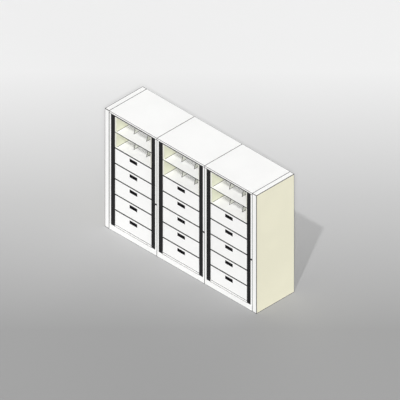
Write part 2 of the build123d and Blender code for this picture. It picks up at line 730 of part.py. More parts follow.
def drawer_tray(bay_x, tier):
    """Tray of five sheets and, on each side, the channel that slides in the runner."""
    floor_z = shelf_line(tier) + TRAY_LIFT
    with BuildPart() as sides:
        with BuildSketch(level(floor_z, bay_x)):
            with Locations((0, tray_middle)):
                with GridLocations(2 * tray_half - DRAWER_SHEET, 0, 2, 1):
                    Rectangle(DRAWER_SHEET, tray_length)
        extrude(amount=TRAY_HEIGHT)
    with BuildPart() as ends:
        with BuildSketch(level(floor_z, bay_x)):
            with Locations((0, tray_middle)):
                with GridLocations(0, tray_length - DRAWER_SHEET, 1, 2):
                    Rectangle(2 * (tray_half - DRAWER_SHEET), DRAWER_SHEET)
        extrude(amount=TRAY_HEIGHT)
    with BuildPart() as bottom:
        with BuildSketch(level(floor_z, bay_x)):
            with Locations((0, tray_middle)):
                Rectangle(2 * (tray_half - DRAWER_SHEET), tray_length - 2 * DRAWER_SHEET)
        extrude(amount=DRAWER_SHEET)
    slider_width = RUNNER_WIDTH - RUNNER_SHEET - RUNNER_PLAY
    slider_height = RUNNER_HEIGHT - 2 * RUNNER_SHEET - 2 * RUNNER_PLAY
    with BuildPart() as sliders:
        with BuildSketch(facing(RUNNER_SETBACK - tray_front, bay_x)):
            for side in (-1, 1):
                slider_x = side * (tray_half + slider_width / 2)
                with Locations((slider_x, floor_z + RUNNER_LIFT)):
                    Rectangle(slider_width, slider_height)
                with Locations((slider_x - side * RUNNER_SHEET, floor_z + RUNNER_LIFT)):
                    Rectangle(slider_width, slider_height - 2 * RUNNER_SHEET, mode=Mode.SUBTRACT)
        extrude(amount=tray_back - tray_front + RUNNER_SETBACK)
    return [*sides.part.solids(), *ends.part.solids(), *bottom.part.solids(), *sliders.part.solids()]


def drawer_pull(bay_x, tier):
    """Recessed cup, flush with the front, with a finger lip hanging from its top rim."""
    middle = pull_centre(tier)
    with BuildPart() as pull:
        with BuildSketch(facing(-rotor_half, bay_x)):
            with Locations((0, middle)):
                Rectangle(PULL_WIDTH, PULL_HEIGHT)
        extrude(amount=-PULL_DEPTH)
        with BuildSketch(facing(-rotor_half + PULL_WALL, bay_x)):
            with Locations((0, middle)):
                Rectangle(PULL_WIDTH - 2 * PULL_RIM, PULL_HEIGHT - 2 * PULL_RIM)
        extrude(amount=2 * PULL_WALL - PULL_DEPTH, mode=Mode.SUBTRACT)
        with BuildSketch(facing(-rotor_half, bay_x)):
            with Locations((0, middle - PULL_LIP / 2)):
                Rectangle(PULL_WIDTH - 2 * PULL_RIM, PULL_HEIGHT - 2 * PULL_RIM - PULL_LIP)
        extrude(amount=-2 * PULL_WALL, mode=Mode.SUBTRACT)
    return pull.part


for number, bay_x in enumerate(bay_centres, start=1):
    for tier in range(DRAWERS):
        name = f"drawer_{number}_{tier + 1}"
        group(name, drawer_front(bay_x, tier), *drawer_tray(bay_x, tier))
        write(drawer_pull(bay_x, tier), f"{name}_pull")
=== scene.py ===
# %% [markdown]
# # A bank of rotary filing cabinets
#
# Three steel bays stand side by side between two end boxes. In each bay a square carousel, the
# rotor, carries drawers and open shelves. The metalwork is already there as fixed solids, so this
# lesson gives every surface its finish, adds the small formed parts that a folded sheet really
# has, and lights the whole thing plainly.
#
# A box model of such a cabinet would look like cardboard. What makes it steel is the satin of its
# powder coat, the thin dark seams, the shadows inside the open tiers and the crisp black guards.

# %% Load the metalwork
import math

import bmesh
import bpy
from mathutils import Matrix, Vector


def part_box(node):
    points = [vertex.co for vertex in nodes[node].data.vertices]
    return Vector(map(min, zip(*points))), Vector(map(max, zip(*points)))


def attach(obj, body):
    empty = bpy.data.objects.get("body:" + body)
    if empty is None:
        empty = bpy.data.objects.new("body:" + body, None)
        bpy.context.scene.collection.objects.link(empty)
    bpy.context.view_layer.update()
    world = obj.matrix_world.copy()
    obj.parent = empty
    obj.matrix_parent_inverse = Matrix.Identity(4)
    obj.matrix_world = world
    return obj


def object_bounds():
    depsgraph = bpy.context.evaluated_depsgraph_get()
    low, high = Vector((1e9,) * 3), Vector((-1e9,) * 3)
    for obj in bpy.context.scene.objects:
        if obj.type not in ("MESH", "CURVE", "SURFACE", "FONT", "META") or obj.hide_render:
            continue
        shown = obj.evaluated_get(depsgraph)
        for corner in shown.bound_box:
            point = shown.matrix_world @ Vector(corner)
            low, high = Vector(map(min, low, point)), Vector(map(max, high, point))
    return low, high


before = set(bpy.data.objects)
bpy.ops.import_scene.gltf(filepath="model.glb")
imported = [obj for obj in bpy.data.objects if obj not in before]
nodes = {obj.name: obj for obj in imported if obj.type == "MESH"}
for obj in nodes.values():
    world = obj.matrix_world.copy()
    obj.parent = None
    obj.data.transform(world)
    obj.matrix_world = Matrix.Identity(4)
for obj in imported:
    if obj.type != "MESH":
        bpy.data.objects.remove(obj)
solid_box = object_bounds()

# %% [markdown]
# ## Where things are
#
# Every added piece has to sit on the metalwork, so its place is worked out from the boxes of the
# solids wherever a box can tell it. A shelf line is the height of the surface that a tier stands
# on. The first shelf is the deck of the rotor, and the others follow at an even pitch.

# %% Read the places off the solids
UNITS = 3
TIERS = 7
DRAWERS = 5


def middle(node):
    """Centre of a solid's box."""
    low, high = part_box(node)
    return (Vector(low) + Vector(high)) / 2


shelves_low, shelves_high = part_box("rotor_1_shelves")
spine_low, spine_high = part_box("rotor_1_spine")
deck_top = spine_low[2]
tier_pitch = (shelves_high[2] - deck_top) / (TIERS - 1)
rotor_half = (shelves_high[0] - shelves_low[0]) / 2
panel_inner = (spine_high[0] - spine_low[0]) / 2
spine_half = spine_high[1]
rotor_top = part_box("rotor_1_decks")[1][2]
fascia_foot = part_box("top_panels")[0][2]
plinth_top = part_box("base_plinths")[1][2]
end_outer, depth_half, casing_top = solid_box[1]
bays = [middle(f"rotor_{unit}_shelves").x for unit in range(1, UNITS + 1)]
bay_pitch = bays[1] - bays[0]
lines = [deck_top + tier * tier_pitch for tier in range(TIERS)]
print("bays at", [round(x, 3) for x in bays], "tier pitch", round(tier_pitch, 4))

# %% [markdown]
# ## Writing shaders as sums
#
# A finish is easiest to read as a formula, such as colour times a little noise. Blender stores it
# as a web of nodes. The class below wraps one socket: Python's own signs then add the Math nodes,
# and one method adds any other node with its settings and its inputs.

# %% Sockets that can be added and multiplied
class Signal:
    """One socket of a material's nodes, which Python's operators work on."""

    def __init__(self, tree, socket=None):
        self.tree = tree
        self.socket = socket

    def node(self, kind, settings=None, inputs=None, output=0):
        """Adds a node: first its settings, then a value or a link for each named socket."""
        made = self.tree.nodes.new(kind)
        for name, value in (settings or {}).items():
            if name == "stops":
                elements = made.color_ramp.elements
                while len(elements) < len(value):
                    elements.new(1.0)
                for element, (place, shade) in zip(elements, value):
                    element.position = place
                    element.color = (*shade, 1.0)
            else:
                setattr(made, name, value)
        for name, value in (inputs or {}).items():
            if isinstance(value, Signal):
                self.tree.links.new(value.socket, made.inputs[name])
            else:
                made.inputs[name].default_value = value
        return Signal(self.tree, made.outputs[output] if made.outputs else None)

    def math(self, operation, *values):
        return self.node("ShaderNodeMath", {"operation": operation}, dict(enumerate(values)))

    def __add__(self, other):
        return self.math("ADD", self, other)

    __radd__ = __add__

    def __sub__(self, other):
        return self.math("SUBTRACT", self, other)

    def __rsub__(self, other):
        return self.math("SUBTRACT", other, self)

    def __mul__(self, other):
        return self.math("MULTIPLY", self, other)

    __rmul__ = __mul__

    def modulo(self, step):
        """What is left over when whole steps are taken away."""
        return self.math("FLOORED_MODULO", self, step)

    def size(self):
        """The signal without its sign."""
        return self.math("ABSOLUTE", self)

    def above(self, limit):
        """One where the signal is over the limit, and nought elsewhere."""
        return self.math("GREATER_THAN", self, limit)

    def either(self, other):
        """The larger of two signals, which for masks means one or the other."""
        return self.math("MAXIMUM", self, other)

    def ramp(self, low, high):
        """Rises from nought at low to one at high."""
        settings = {"clamp": True, "interpolation_type": "SMOOTHSTEP"}
        inputs = {"Value": self, "From Min": low, "From Max": high}
        return self.node("ShaderNodeMapRange", settings, inputs)

    def blend(self, first, second):
        """Mixes two colours by this signal: nought is the first and one is the second."""
        inputs = {0: self, 6: first, 7: second}
        return self.node("ShaderNodeMix", {"data_type": "RGBA"}, inputs, output=2)

    def split(self):
        """The three parts of a vector."""
        parts = self.node("ShaderNodeSeparateXYZ", inputs={"Vector": self})
        outputs = parts.socket.node.outputs
        return [Signal(self.tree, outputs[i]) for i in range(3)]


def rgba(colour):
    return (*colour, 1.0)


print("signals ready")

# %% [markdown]
# ## The frame of every material
#
# All the finishes here are opaque and end in one Principled shader, so a single function makes
# the material and hands over the two things that a formula starts from: the place on the object
# and the way the surface faces. Both are the object's own, so a pattern stays on its part when
# the rotor turns or a drawer slides.

# %% Start and finish a material
def begin(name):
    """A new material with the signals for place and facing."""
    material = bpy.data.materials.new(name)
    material.use_nodes = True
    material.node_tree.nodes.clear()
    start = Signal(material.node_tree)
    place = start.node("ShaderNodeTexCoord", output="Object")
    facing = start.node("ShaderNodeTexCoord", output="Normal")
    return material, place, facing


def noise(place, per_metre, detail=3.0):
    """Soft random signal with that many lumps to the metre."""
    inputs = {"Vector": place, "Scale": per_metre, "Detail": detail}
    return place.node("ShaderNodeTexNoise", inputs=inputs)


def bump(height, depth):
    """Normal of a surface that the signal raises by up to that depth in metres."""
    inputs = {"Height": height, "Strength": 1.0, "Distance": depth}
    return height.node("ShaderNodeBump", inputs=inputs)


def finish(material, colour, roughness, normal=None, metallic=0.0, gloss=0.5):
    """Ends the material in a Principled shader."""
    start = Signal(material.node_tree)
    inputs = {
        "Base Color": colour,
        "Roughness": roughness,
        "Metallic": metallic,
        "Specular IOR Level": gloss,
    }
    if normal is not None:
        inputs["Normal"] = normal
    shader = start.node("ShaderNodeBsdfPrincipled", inputs=inputs)
    start.node("ShaderNodeOutputMaterial", inputs={"Surface": shader})
    return material


print("materials can start")

# %% [markdown]
# ## Powder coat
#
# Office steel is powder coated: a baked skin with a satin sheen and a faint orange peel of lumps
# about a millimetre wide. Paint from one oven still varies a little over a metre, so a slow noise
# shifts its tone by a hundredth or two, and a quicker one changes the sheen where hands and
# dusters pass. A flat colour would miss both, and a strong texture would look like plaster.

# %% White and grey powder coats
WHITE = (0.94, 0.94, 0.93)
DIVIDER_GREY = (0.68, 0.69, 0.63)
TONES_PER_METRE = 1.7
TONE_RAMP = (0.35, 0.65)  # the middle of the noise, where most of its values lie
WIPES_PER_METRE = 9.0
PEEL_PER_METRE = 700.0
PEEL_DEPTH = 0.00005
SATIN = 0.48  # roughness of paint that is wiped often
SATIN_RISE = 0.14  # how much rougher it is where it is never wiped
COAT_GLOSS = 0.3  # satin paint reflects less than clear lacquer, which is 0.5


def tone(place, colour, change=0.025):
    """The colour, a little darker where a slow noise is low."""
    darker = rgba([part * (1 - change) for part in colour])
    return noise(place, TONES_PER_METRE).ramp(*TONE_RAMP).blend(darker, rgba(colour))


def satin(place):
    """Roughness of satin paint, uneven where it has been wiped."""
    return SATIN + SATIN_RISE * noise(place, WIPES_PER_METRE, detail=5.0)


def peel(place):
    return bump(noise(place, PEEL_PER_METRE, detail=1.0), PEEL_DEPTH)


def powder_coat(name, colour):
    material, place, _ = begin(name)
    return finish(material, tone(place, colour), satin(place), peel(place), gloss=COAT_GLOSS)


white_coat = powder_coat("white_powder_coat", WHITE)
divider_coat = powder_coat("divider_powder_coat", DIVIDER_GREY)
print("coats:", white_coat.name, divider_coat.name)

# %% [markdown]
# ## Two colours on one sheet
#
# The shelves are white with a dark band along their front edges, which is partly dark paint and
# partly painted shade of the gap between a drawer and the shelf over it. A line of painted shade
# also runs along the top of each drawer front and on the skirt of the bottom deck, and a dark band
# along the top deck is partly painted shade of the gap under the fascia. The rotor's side panels
# take a cream copy of the white paint on the faces that point sideways, as painted shade there, and
# a paler copy on their front and rear edges. These could be split into separate meshes, but the way
# a face points and its place already tell which colour it has. So a mask made from the surface's
# own normal and place paints both colours from one material. The masks are named for what they
# pick out.

# %% Masks for faces and heights
STRAIGHT = 0.9  # a face points along an axis when that part of its normal is over this
SKIN = 0.004  # deeper than any rounded edge, so that only the outermost faces count
LINE_SLACK = 0.0005  # so that a face right on a shelf line counts as under it


def faces_room(facing):
    """One on the faces that point to the front or the rear."""
    return facing.split()[1].size().above(STRAIGHT)


def outermost(place, half):
    """One on what lies at that distance in front of the middle or behind it."""
    return place.split()[1].size().above(half - SKIN)


def below_line(place):
    """How far a point lies under the next shelf line."""
    return tier_pitch - (place.split()[2] - (deck_top + LINE_SLACK)).modulo(tier_pitch)


def between(signal, low, high):
    return signal.above(low) * (1 - signal.above(high))


def lined_coat(name, mask, line, colour=WHITE):
    """Powder coat with another colour where the mask is one."""
    material, place, facing = begin(name)
    colours = mask(place, facing).blend(tone(place, colour), tone(place, line))
    return finish(material, colours, satin(place), peel(place), gloss=COAT_GLOSS)


print("masks ready")

# %% Coats of the rotor
# LINE_GREY is painted shade in the gaps at the tier lines. On the shelves it is also a dark edge band.
LINE_GREY = (0.010, 0.010, 0.011)
# INNER_CREAM is painted shade: a cream copy of the white paint for the panels' sideways faces.
# PALE_CREAM is a paler copy for their front and rear edges.
INNER_CREAM = (0.69, 0.70, 0.55)
PALE_CREAM = (0.85, 0.845, 0.77)
SHELF_RIM = 0.006  # white rim over the dark line of a shelf
SHELF_LINE_FOOT = 0.029  # where that line ends, on the drawer below
SKIRT_LINE = (0.005, 0.013)  # how far the line on the bottom deck lies under its top
TOP_DECK_LINE = 0.014


def panel_mask(_, facing):
    return faces_room(facing)


# A dark band under each shelf line: partly dark paint, partly painted shade of the gap over a drawer.
def shelf_mask(place, _):
    return outermost(place, rotor_half) * below_line(place).above(SHELF_RIM)


# A strip of painted shade along the top of each drawer front, under its clearance gap.
def drawer_gap_shade_mask(place, _):
    return outermost(place, rotor_half) * (1 - below_line(place).above(SHELF_LINE_FOOT))


def deck_mask(place, facing):
    """Painted shade on the bottom deck's skirt, and a top deck band that is partly painted shade."""
    height = place.split()[2]
    on_skirt = between(height, deck_top - SKIRT_LINE[1], deck_top - SKIRT_LINE[0])
    return faces_room(facing) * (on_skirt + height.above(rotor_top - TOP_DECK_LINE))


# The side panels: painted shade in cream on their sideways faces, and paler cream on their edges.
panel_paint = lined_coat("panel_powder_coat", panel_mask, PALE_CREAM, INNER_CREAM)
shelf_paint = lined_coat("shelf_powder_coat", shelf_mask, LINE_GREY)
drawer_paint = lined_coat("drawer_powder_coat", drawer_gap_shade_mask, LINE_GREY)
deck_paint = lined_coat("deck_powder_coat", deck_mask, LINE_GREY)
print("coats of the rotor:", panel_paint.name, shelf_paint.name, drawer_paint.name, deck_paint.name)

# %% [markdown]
# ## Seams and edges of the casing
#
# Fine dark lines are painted along the outer edges of the bank and on each side of the seams
# between its casings. Beside a seam the line is painted shade, which widens the seam's shaded gap.
# A line is a few millimetres wide, far finer than any sheet of the casing. Modelled as strips, such
# lines would stand proud of the metal. A mask made from the distance to the nearest edge or seam
# keeps them in the paint.

# %% Lines along edges and seams
# CREAM is painted shade: a cream copy of the white paint for the end skins, which face sideways.
CREAM = (0.83, 0.805, 0.635)
EDGE_GREY = (0.06, 0.06, 0.06)
CASING_EDGE = 0.005  # how far a line reaches from an edge
END_EDGE = 0.008
# The lines beside a seam are painted shade of its gap.
SEAM_EDGE = 0.0055  # and to each side of a seam
# The lines at the foot of the fascia and at each sill are painted shade of the gaps by the rotor.
FASCIA_LINE = 0.009
SILL_LINE = 0.003
TWO_OF_THREE = 1.5  # a sum of masks is over this where at least two of them are one


def off_bay(place):
    """How far a point lies to the side of the nearest bay's middle."""
    return ((place.split()[0] - bays[0] + bay_pitch / 2).modulo(bay_pitch) - bay_pitch / 2).size()


def casing_lines(place, reach):
    """One along the outer edges of the whole bank, where two sides meet, and as painted shade by its
    seams.
    """
    x, y, z = place.split()
    near_side = x.size().above(end_outer - reach) + y.size().above(depth_half - reach)
    near_level = 1 - between(z, reach, casing_top - reach)
    at_edge = (near_side + near_level).above(TWO_OF_THREE)
    at_seam = off_bay(place).above(bay_pitch / 2 - SEAM_EDGE)
    return at_edge.either(at_seam)


def casing_mask(place, _):
    return casing_lines(place, CASING_EDGE)


def end_mask(place, _):
    return casing_lines(place, END_EDGE)


def top_mask(place, _):
    """The casing's lines, and a line of painted shade along the foot of the fascia."""
    at_foot = (1 - place.split()[2].above(fascia_foot + FASCIA_LINE)) * outermost(place, depth_half)
    return casing_lines(place, CASING_EDGE).either(at_foot)


def plinth_mask(place, _):
    """The casing's lines, and a line of painted shade along the sill of each opening."""
    at_sill = place.split()[2].above(plinth_top - SILL_LINE) * outermost(place, depth_half)
    at_opening = at_sill * (1 - off_bay(place).above(rotor_half))
    return casing_lines(place, CASING_EDGE).either(at_opening)


top_paint = lined_coat("top_powder_coat", top_mask, EDGE_GREY)
plinth_paint = lined_coat("plinth_powder_coat", plinth_mask, EDGE_GREY)
jamb_paint = lined_coat("jamb_powder_coat", casing_mask, EDGE_GREY)
end_paint = lined_coat("end_powder_coat", end_mask, EDGE_GREY)
skin_paint = lined_coat("skin_powder_coat", casing_mask, EDGE_GREY, CREAM)
print("powder coats in all:", sum("powder_coat" in name for name in bpy.data.materials.keys()))

# %% [markdown]
# ## Black guards and pulls
#
# The guards beside each opening are extruded plastic: fine upright drawing lines run their whole
# length. The lines come from a noise that is stretched along the height, so it changes quickly
# across the guard and hardly at all along it. The pulls are moulded instead, so they get an even,
# fine grain. One function makes both, and later the locks and the soft plastics too.

# %% Black plastics
GUARD_BLACK = (0.009, 0.009, 0.010)
GUARD_GRAIN = {"per_metre": 900.0, "depth": 0.00006, "rough": 0.42, "rise": 0.16}
PULL_BLACK = (0.004, 0.004, 0.005)
PULL_GRAIN = {"per_metre": 1600.0, "depth": 0.00004, "rough": 0.55, "rise": 0.15}
EVEN = (1.0, 1.0, 1.0)
UPRIGHT = (1.0, 1.0, 0.01)  # the height counts for a hundredth, so that lumps become lines


def grained(name, colour, grain, change, gloss=0.5, stretch=EVEN):
    """Finish whose grain raises the surface by a depth and its roughness by a rise."""
    material, place, _ = begin(name)
    stretched = place.node("ShaderNodeMapping", inputs={"Vector": place, "Scale": stretch})
    lumps = noise(stretched, grain["per_metre"], detail=2.0)
    roughness = grain["rough"] + grain["rise"] * lumps
    shade = tone(place, colour, change)
    return finish(material, shade, roughness, bump(lumps, grain["depth"]), gloss=gloss)


guard_black = grained("guard_plastic", GUARD_BLACK, GUARD_GRAIN, change=0.2, gloss=0.2, stretch=UPRIGHT)
pull_black = grained("pull_plastic", PULL_BLACK, PULL_GRAIN, change=0.2, gloss=0.15)
print("plastics:", guard_black.name, pull_black.name)

# %% [markdown]
# ## Foam, bearing steel and locks
#
# The seams between the casings are closed by grey foam, whose open cells show as small pits, each
# darker towards its middle as painted shade.
# Bearings are turned on a lathe, so their marks run in rings about the axis. The rings are a wave
# of the distance from the axis. The lock is blackened zinc with an oiled, darkened steel plug.

# %% Foam
# FOAM_PIT is painted shade in the middle of each cell.
FOAM_PIT = (0.008, 0.008, 0.008)
FOAM_SKIN = (0.03, 0.03, 0.03)
FOAM_CELLS_PER_METRE = 600.0
FOAM_RAMP = (0.1, 0.6)  # from the middle of a cell towards its wall
FOAM_PIT_DEPTH = 0.0004
FOAM_ROUGHNESS = 0.9


def foam():
    material, place, _ = begin("seam_foam")
    inputs = {"Vector": place, "Scale": FOAM_CELLS_PER_METRE}
    cells = place.node("ShaderNodeTexVoronoi", inputs=inputs)
    colour = cells.ramp(*FOAM_RAMP).blend(rgba(FOAM_PIT), rgba(FOAM_SKIN))
    return finish(material, colour, FOAM_ROUGHNESS, bump(cells, FOAM_PIT_DEPTH), gloss=0.2)


seam_foam = foam()
print("foam:", seam_foam.name)

# %% Bearing steel
DULL_STEEL = (0.42, 0.42, 0.43)
CLEAN_STEEL = (0.6, 0.6, 0.61)
RING_RATE = 4000.0  # radians of the wave to a metre of radius
RING_DEPTH = 0.00002
SMUDGES_PER_METRE = 30.0
SMUDGE_RAMP = (0.3, 0.7)
POLISH = 0.28  # roughness of the clean steel
SMUDGE_RISE = 0.12


def turned_steel():
    material, place, _ = begin("turned_steel")
    across = off_bay(place)
    y = place.split()[1]
    square = across * across + y * y
    radius = square.math("SQRT", square)
    rings = radius.math("SINE", radius * RING_RATE)
    smudge = noise(place, SMUDGES_PER_METRE)
    colour = smudge.ramp(*SMUDGE_RAMP).blend(rgba(DULL_STEEL), rgba(CLEAN_STEEL))
    roughness = POLISH + SMUDGE_RISE * smudge
    return finish(material, colour, roughness, bump(rings, RING_DEPTH), metallic=1.0)


bearing_steel = turned_steel()
print("bearing:", bearing_steel.name)

# %% Lock finishes
ZINC_BLACK = (0.006, 0.006, 0.007)
OILED_STEEL = (0.016, 0.016, 0.017)
LOCK_GRAIN = {"per_metre": 2500.0, "depth": 0.00001, "rough": 0.45, "rise": 0.1}

lock_black = grained("blackened_zinc", ZINC_BLACK, LOCK_GRAIN, change=0.15, gloss=0.15)
lock_steel = grained("darkened_steel", OILED_STEEL, LOCK_GRAIN, change=0.15, gloss=0.3)
print("finishes so far:", len(bpy.data.materials))

# %% [markdown]
# ## Dressing the solids
#
# Each solid takes one finish. Sixty lines of assignments would do, but the names already say what
# each part is. So a short list of fragments of names and their finishes dresses all sixty: the
# first fragment that a name holds wins, and a part without any would stop the script.

# %% Give every solid its finish
FINISH_OF = [
    ("_pull", pull_black),
    ("pinch_guards", guard_black),
    ("seam_gaskets", seam_foam),
    ("rotor_bearings", bearing_steel),
    ("lock_barrels", lock_black),
    ("lock_plug", lock_steel),
    ("lock_bolt", lock_steel),
    ("end_skins", skin_paint),
    ("end_boxes", end_paint),
    ("top_panels", top_paint),
    ("base_plinths", plinth_paint),
    ("jamb_posts", jamb_paint),
    ("drawer_", drawer_paint),
    ("side_panels", panel_paint),
    ("_shelves", shelf_paint),
    ("_decks", deck_paint),
    ("_dividers", divider_coat),
    ("_spine", white_coat),
]


def dress(thing, material):
    """Gives an object one material on all its faces."""
    thing.data.materials.clear()
    thing.data.materials.append(material)


for name, solid in nodes.items():
    dress(solid, next(material for fragment, material in FINISH_OF if fragment in name))
print("dressed:", sum(bool(solid.data.materials) for solid in nodes.values()), "of", len(nodes))

# %% [markdown]
# ## From outline to piece
#
# The added pieces are of two kinds: plates cut from sheet, and round sections such as beads and
# hems. A plate is made face by face in a bmesh, because its holes have to be real. A round section
# is a curve with a bevel, which keeps its thickness even round a corner. A helper for each kind
# makes the object and lets it ride on its body, and a third rounds the corners of a path.

# %% Helpers for the formed parts
BEVEL_STEPS = 2  # how finely a round section is divided


def piece(name, mesh, body, material):
    """Object that shows a mesh and rides on a body."""
    made = bpy.data.objects.new(name, mesh)
    bpy.context.scene.collection.objects.link(made)
    dress(made, material)
    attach(made, body)


def mesh_of(name, maker):
    """Turns a bmesh into a mesh and frees it."""
    mesh = bpy.data.meshes.new(name)
    maker.to_mesh(mesh)
    maker.free()
    return mesh


def wire(name, paths, radius, body, material):
    """Round wire or rolled hem along one or more paths of points."""
    curve = bpy.data.curves.new(name, "CURVE")
    curve.dimensions = "3D"
    curve.bevel_depth = radius
    curve.bevel_resolution = BEVEL_STEPS
    curve.use_fill_caps = True
    for path in paths:
        spline = curve.splines.new("POLY")
        spline.points.add(len(path) - 1)
        for point, place in zip(spline.points, path):
            point.co = (*place, 1.0)
    shape = bpy.data.objects.new(name, curve)
    bpy.context.scene.collection.objects.link(shape)
    mesh = bpy.data.meshes.new_from_object(shape)
    bpy.data.objects.remove(shape)
    for face in mesh.polygons:
        face.use_smooth = True
    piece(name, mesh, body, material)


def rounded(corner, before, after, radius, steps=5):
    """Points of an arc that rounds the corner between two straight runs."""
    into = (Vector(before) - Vector(corner)).normalized()
    out = (Vector(after) - Vector(corner)).normalized()
    half = into.angle(out) / 2
    reach = radius / math.tan(half)
    centre = Vector(corner) + (into + out).normalized() * radius / math.sin(half)
    start = (Vector(corner) + into * reach - centre).normalized()
    end = (Vector(corner) + out * reach - centre).normalized()
    return [centre + start.slerp(end, step / steps) * radius for step in range(steps + 1)]


print("helpers ready")

# %% [markdown]
# ## Slotted shelf plates
#
# Behind the middle of each open shelf lies a plate with a row of long slots, into which dividers
# hook. Slots drawn in a shader would vanish from the mesh, so they are cut. Boolean cuts would
# leave long thin triangles, so the top of a plate is a grid of faces from which the slots' cells
# are left out. A wall goes down from each edge that only one face uses, which are those round the
# plate and round each slot. A dark grey strip under the plate shows through the slots as painted
# shade in them.

# %% Cut and thicken the slotted plates
SLOT_PITCH = 0.0262  # five pitches from the middle to a divider
SLOT_WIDTH = 0.006
SLOTS_EACH_SIDE = 12
PLATE_FRONT = 0.190  # behind the shelf's front edge
PLATE_LENGTH = 0.150
PLATE_RIM = 0.008
PLATE_THICKNESS = 0.0016
SLOT_SHADE_LIFT = 0.0004
# The strip's grey is painted shade inside the slots.
SLOT_SHADE_GREY = (0.20, 0.20, 0.21)

slot_shade_grey = powder_coat("slot_shade_strip", SLOT_SHADE_GREY)


def slotted_plate(bm, x, face, z):
    """Adds one plate at a bay, on its front (-1) or rear (1) side, on the shelf at that height."""
    edges = []
    for slot in range(-SLOTS_EACH_SIDE, SLOTS_EACH_SIDE + 1):
        edges += [slot * SLOT_PITCH - SLOT_WIDTH / 2, slot * SLOT_PITCH + SLOT_WIDTH / 2]
    columns = [edges[0] - PLATE_RIM, *edges, edges[-1] + PLATE_RIM]
    near = rotor_half - PLATE_FRONT
    rows = [near, near - PLATE_RIM, near - PLATE_LENGTH + PLATE_RIM, near - PLATE_LENGTH]
    foot, head = {}, {}
    for i, across in enumerate(columns):
        for j, row in enumerate(rows):
            foot[i, j] = bm.verts.new((x + across, face * row, z))
            head[i, j] = bm.verts.new((x + across, face * row, z + PLATE_THICKNESS))
    borders = {}
    for i in range(len(columns) - 1):
        for j in range(len(rows) - 1):
            is_slot = i % 2 == 1 and j == 1
            if is_slot:
                continue
            corners = [(i, j), (i + 1, j), (i + 1, j + 1), (i, j + 1)]
            if face > 0:
                corners.reverse()
            bm.faces.new([head[corner] for corner in corners])
            for start, end in zip(corners, corners[1:] + corners[:1]):
                shared = borders.pop((end, start), False)  # its neighbour runs the other way
                if not shared:
                    borders[start, end] = True
    for start, end in borders:
        bm.faces.new([foot[start], foot[end], head[end], head[start]])


def slot_shade_strip(bm, x, face, z):
    """Adds the dark strip that shows through one plate's slots as painted shade."""
    reach = SLOTS_EACH_SIDE * SLOT_PITCH + SLOT_WIDTH
    near = face * (rotor_half - PLATE_FRONT - PLATE_RIM / 2)
    far = face * (rotor_half - PLATE_FRONT - PLATE_LENGTH + PLATE_RIM / 2)
    outline = [(x - reach, near), (x + reach, near), (x + reach, far), (x - reach, far)]
    if face > 0:
        outline.reverse()
    bm.faces.new([bm.verts.new((*corner, z + SLOT_SHADE_LIFT)) for corner in outline])


open_tiers = [(-1, tier) for tier in range(DRAWERS, TIERS)] + [(1, tier) for tier in range(TIERS)]
for unit, x in enumerate(bays, start=1):
    plates = bmesh.new()
    strips = bmesh.new()
    for face, tier in open_tiers:
        slotted_plate(plates, x, face, lines[tier])
        slot_shade_strip(strips, x, face, lines[tier])
    rotor = f"rotor_{unit}"
    plate_name, strip_name = f"slotted_plates_{unit}", f"backing_strips_{unit}"
    piece(plate_name, mesh_of(plate_name, plates), rotor, white_coat)
    piece(strip_name, mesh_of(strip_name, strips), rotor, slot_shade_grey)
print("slotted plates:", len(open_tiers) * UNITS)

# %% [markdown]
# ## Beads on the dividers
#
# Nobody leaves the raw edge of a sheet where hands reach in. A dark plastic bead runs round each
# divider: along its foot, up its leaning front edge and back along its top. It could be a bevel
# on the sheet, but it is thicker than the sheet. So it is a round section that follows the
# sheet's outline, with its upper front corner rounded.

# %% Beads on the dividers
BEAD_GREY = (0.03, 0.03, 0.03)
BEAD_GRAIN = {"per_metre": 1200.0, "depth": 0.00002, "rough": 0.5, "rise": 0.1}
BEAD_RADIUS = 0.0048
DIVIDER_LEAN = math.radians(16.0)
DIVIDER_CORNER = 0.018

bead_grey = grained("bead_plastic", BEAD_GREY, BEAD_GRAIN, change=0.15)
for unit, x in enumerate(bays, start=1):
    low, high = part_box(f"rotor_{unit}_dividers")
    foot_y = low[1]
    tall = high[2] - lines[-1]
    lean = tall * math.tan(DIVIDER_LEAN)
    spacing = (high[0] - low[0]) / 2
    beads = []
    for side in (-1, 1):
        for tier in range(DRAWERS, TIERS):
            standing = lines[tier] + BEAD_RADIUS
            foot = (x + side * spacing, foot_y, standing)
            head = (x + side * spacing, foot_y + lean, lines[tier] + tall)
            rear = (x + side * spacing, -spine_half, lines[tier] + tall)
            heel = (x + side * spacing, -spine_half, standing)
            beads.append([heel, foot, *rounded(head, foot, rear, DIVIDER_CORNER), rear])
    wire(f"divider_beads_{unit}", beads, BEAD_RADIUS, f"rotor_{unit}", bead_grey)
print("divider beads:", len(beads) * UNITS)

# %% [markdown]
# ## Strips beside the open shelves
#
# A shelf has to be a little narrower than the space between the side panels, or it would scrape
# the paint as it goes in. A dark strip lies in the gap that is left, as painted shade in the corner
# where the shelf meets the panel. It is straight, so its path has only two ends.

# %% Gap strips beside the open shelves
STRIP_RADIUS = 0.0045
EDGE_DEPTH = 0.020  # the shelf's folded front edge, where the strip begins

# The strips are dark as painted shade in the corner where a shelf meets a side panel.
corner_shade_grey = grained("corner_shade_strip", BEAD_GREY, BEAD_GRAIN, change=0.15)
for unit, x in enumerate(bays, start=1):
    strips = []
    for face, tier in open_tiers:
        for side in (-1, 1):
            edge = x + side * panel_inner
            near, far = face * (rotor_half - EDGE_DEPTH), face * spine_half
            strips.append([(edge, near, lines[tier]), (edge, far, lines[tier])])
    wire(f"gap_strips_{unit}", strips, STRIP_RADIUS, f"rotor_{unit}", corner_shade_grey)
print("gap strips:", len(strips) * UNITS)

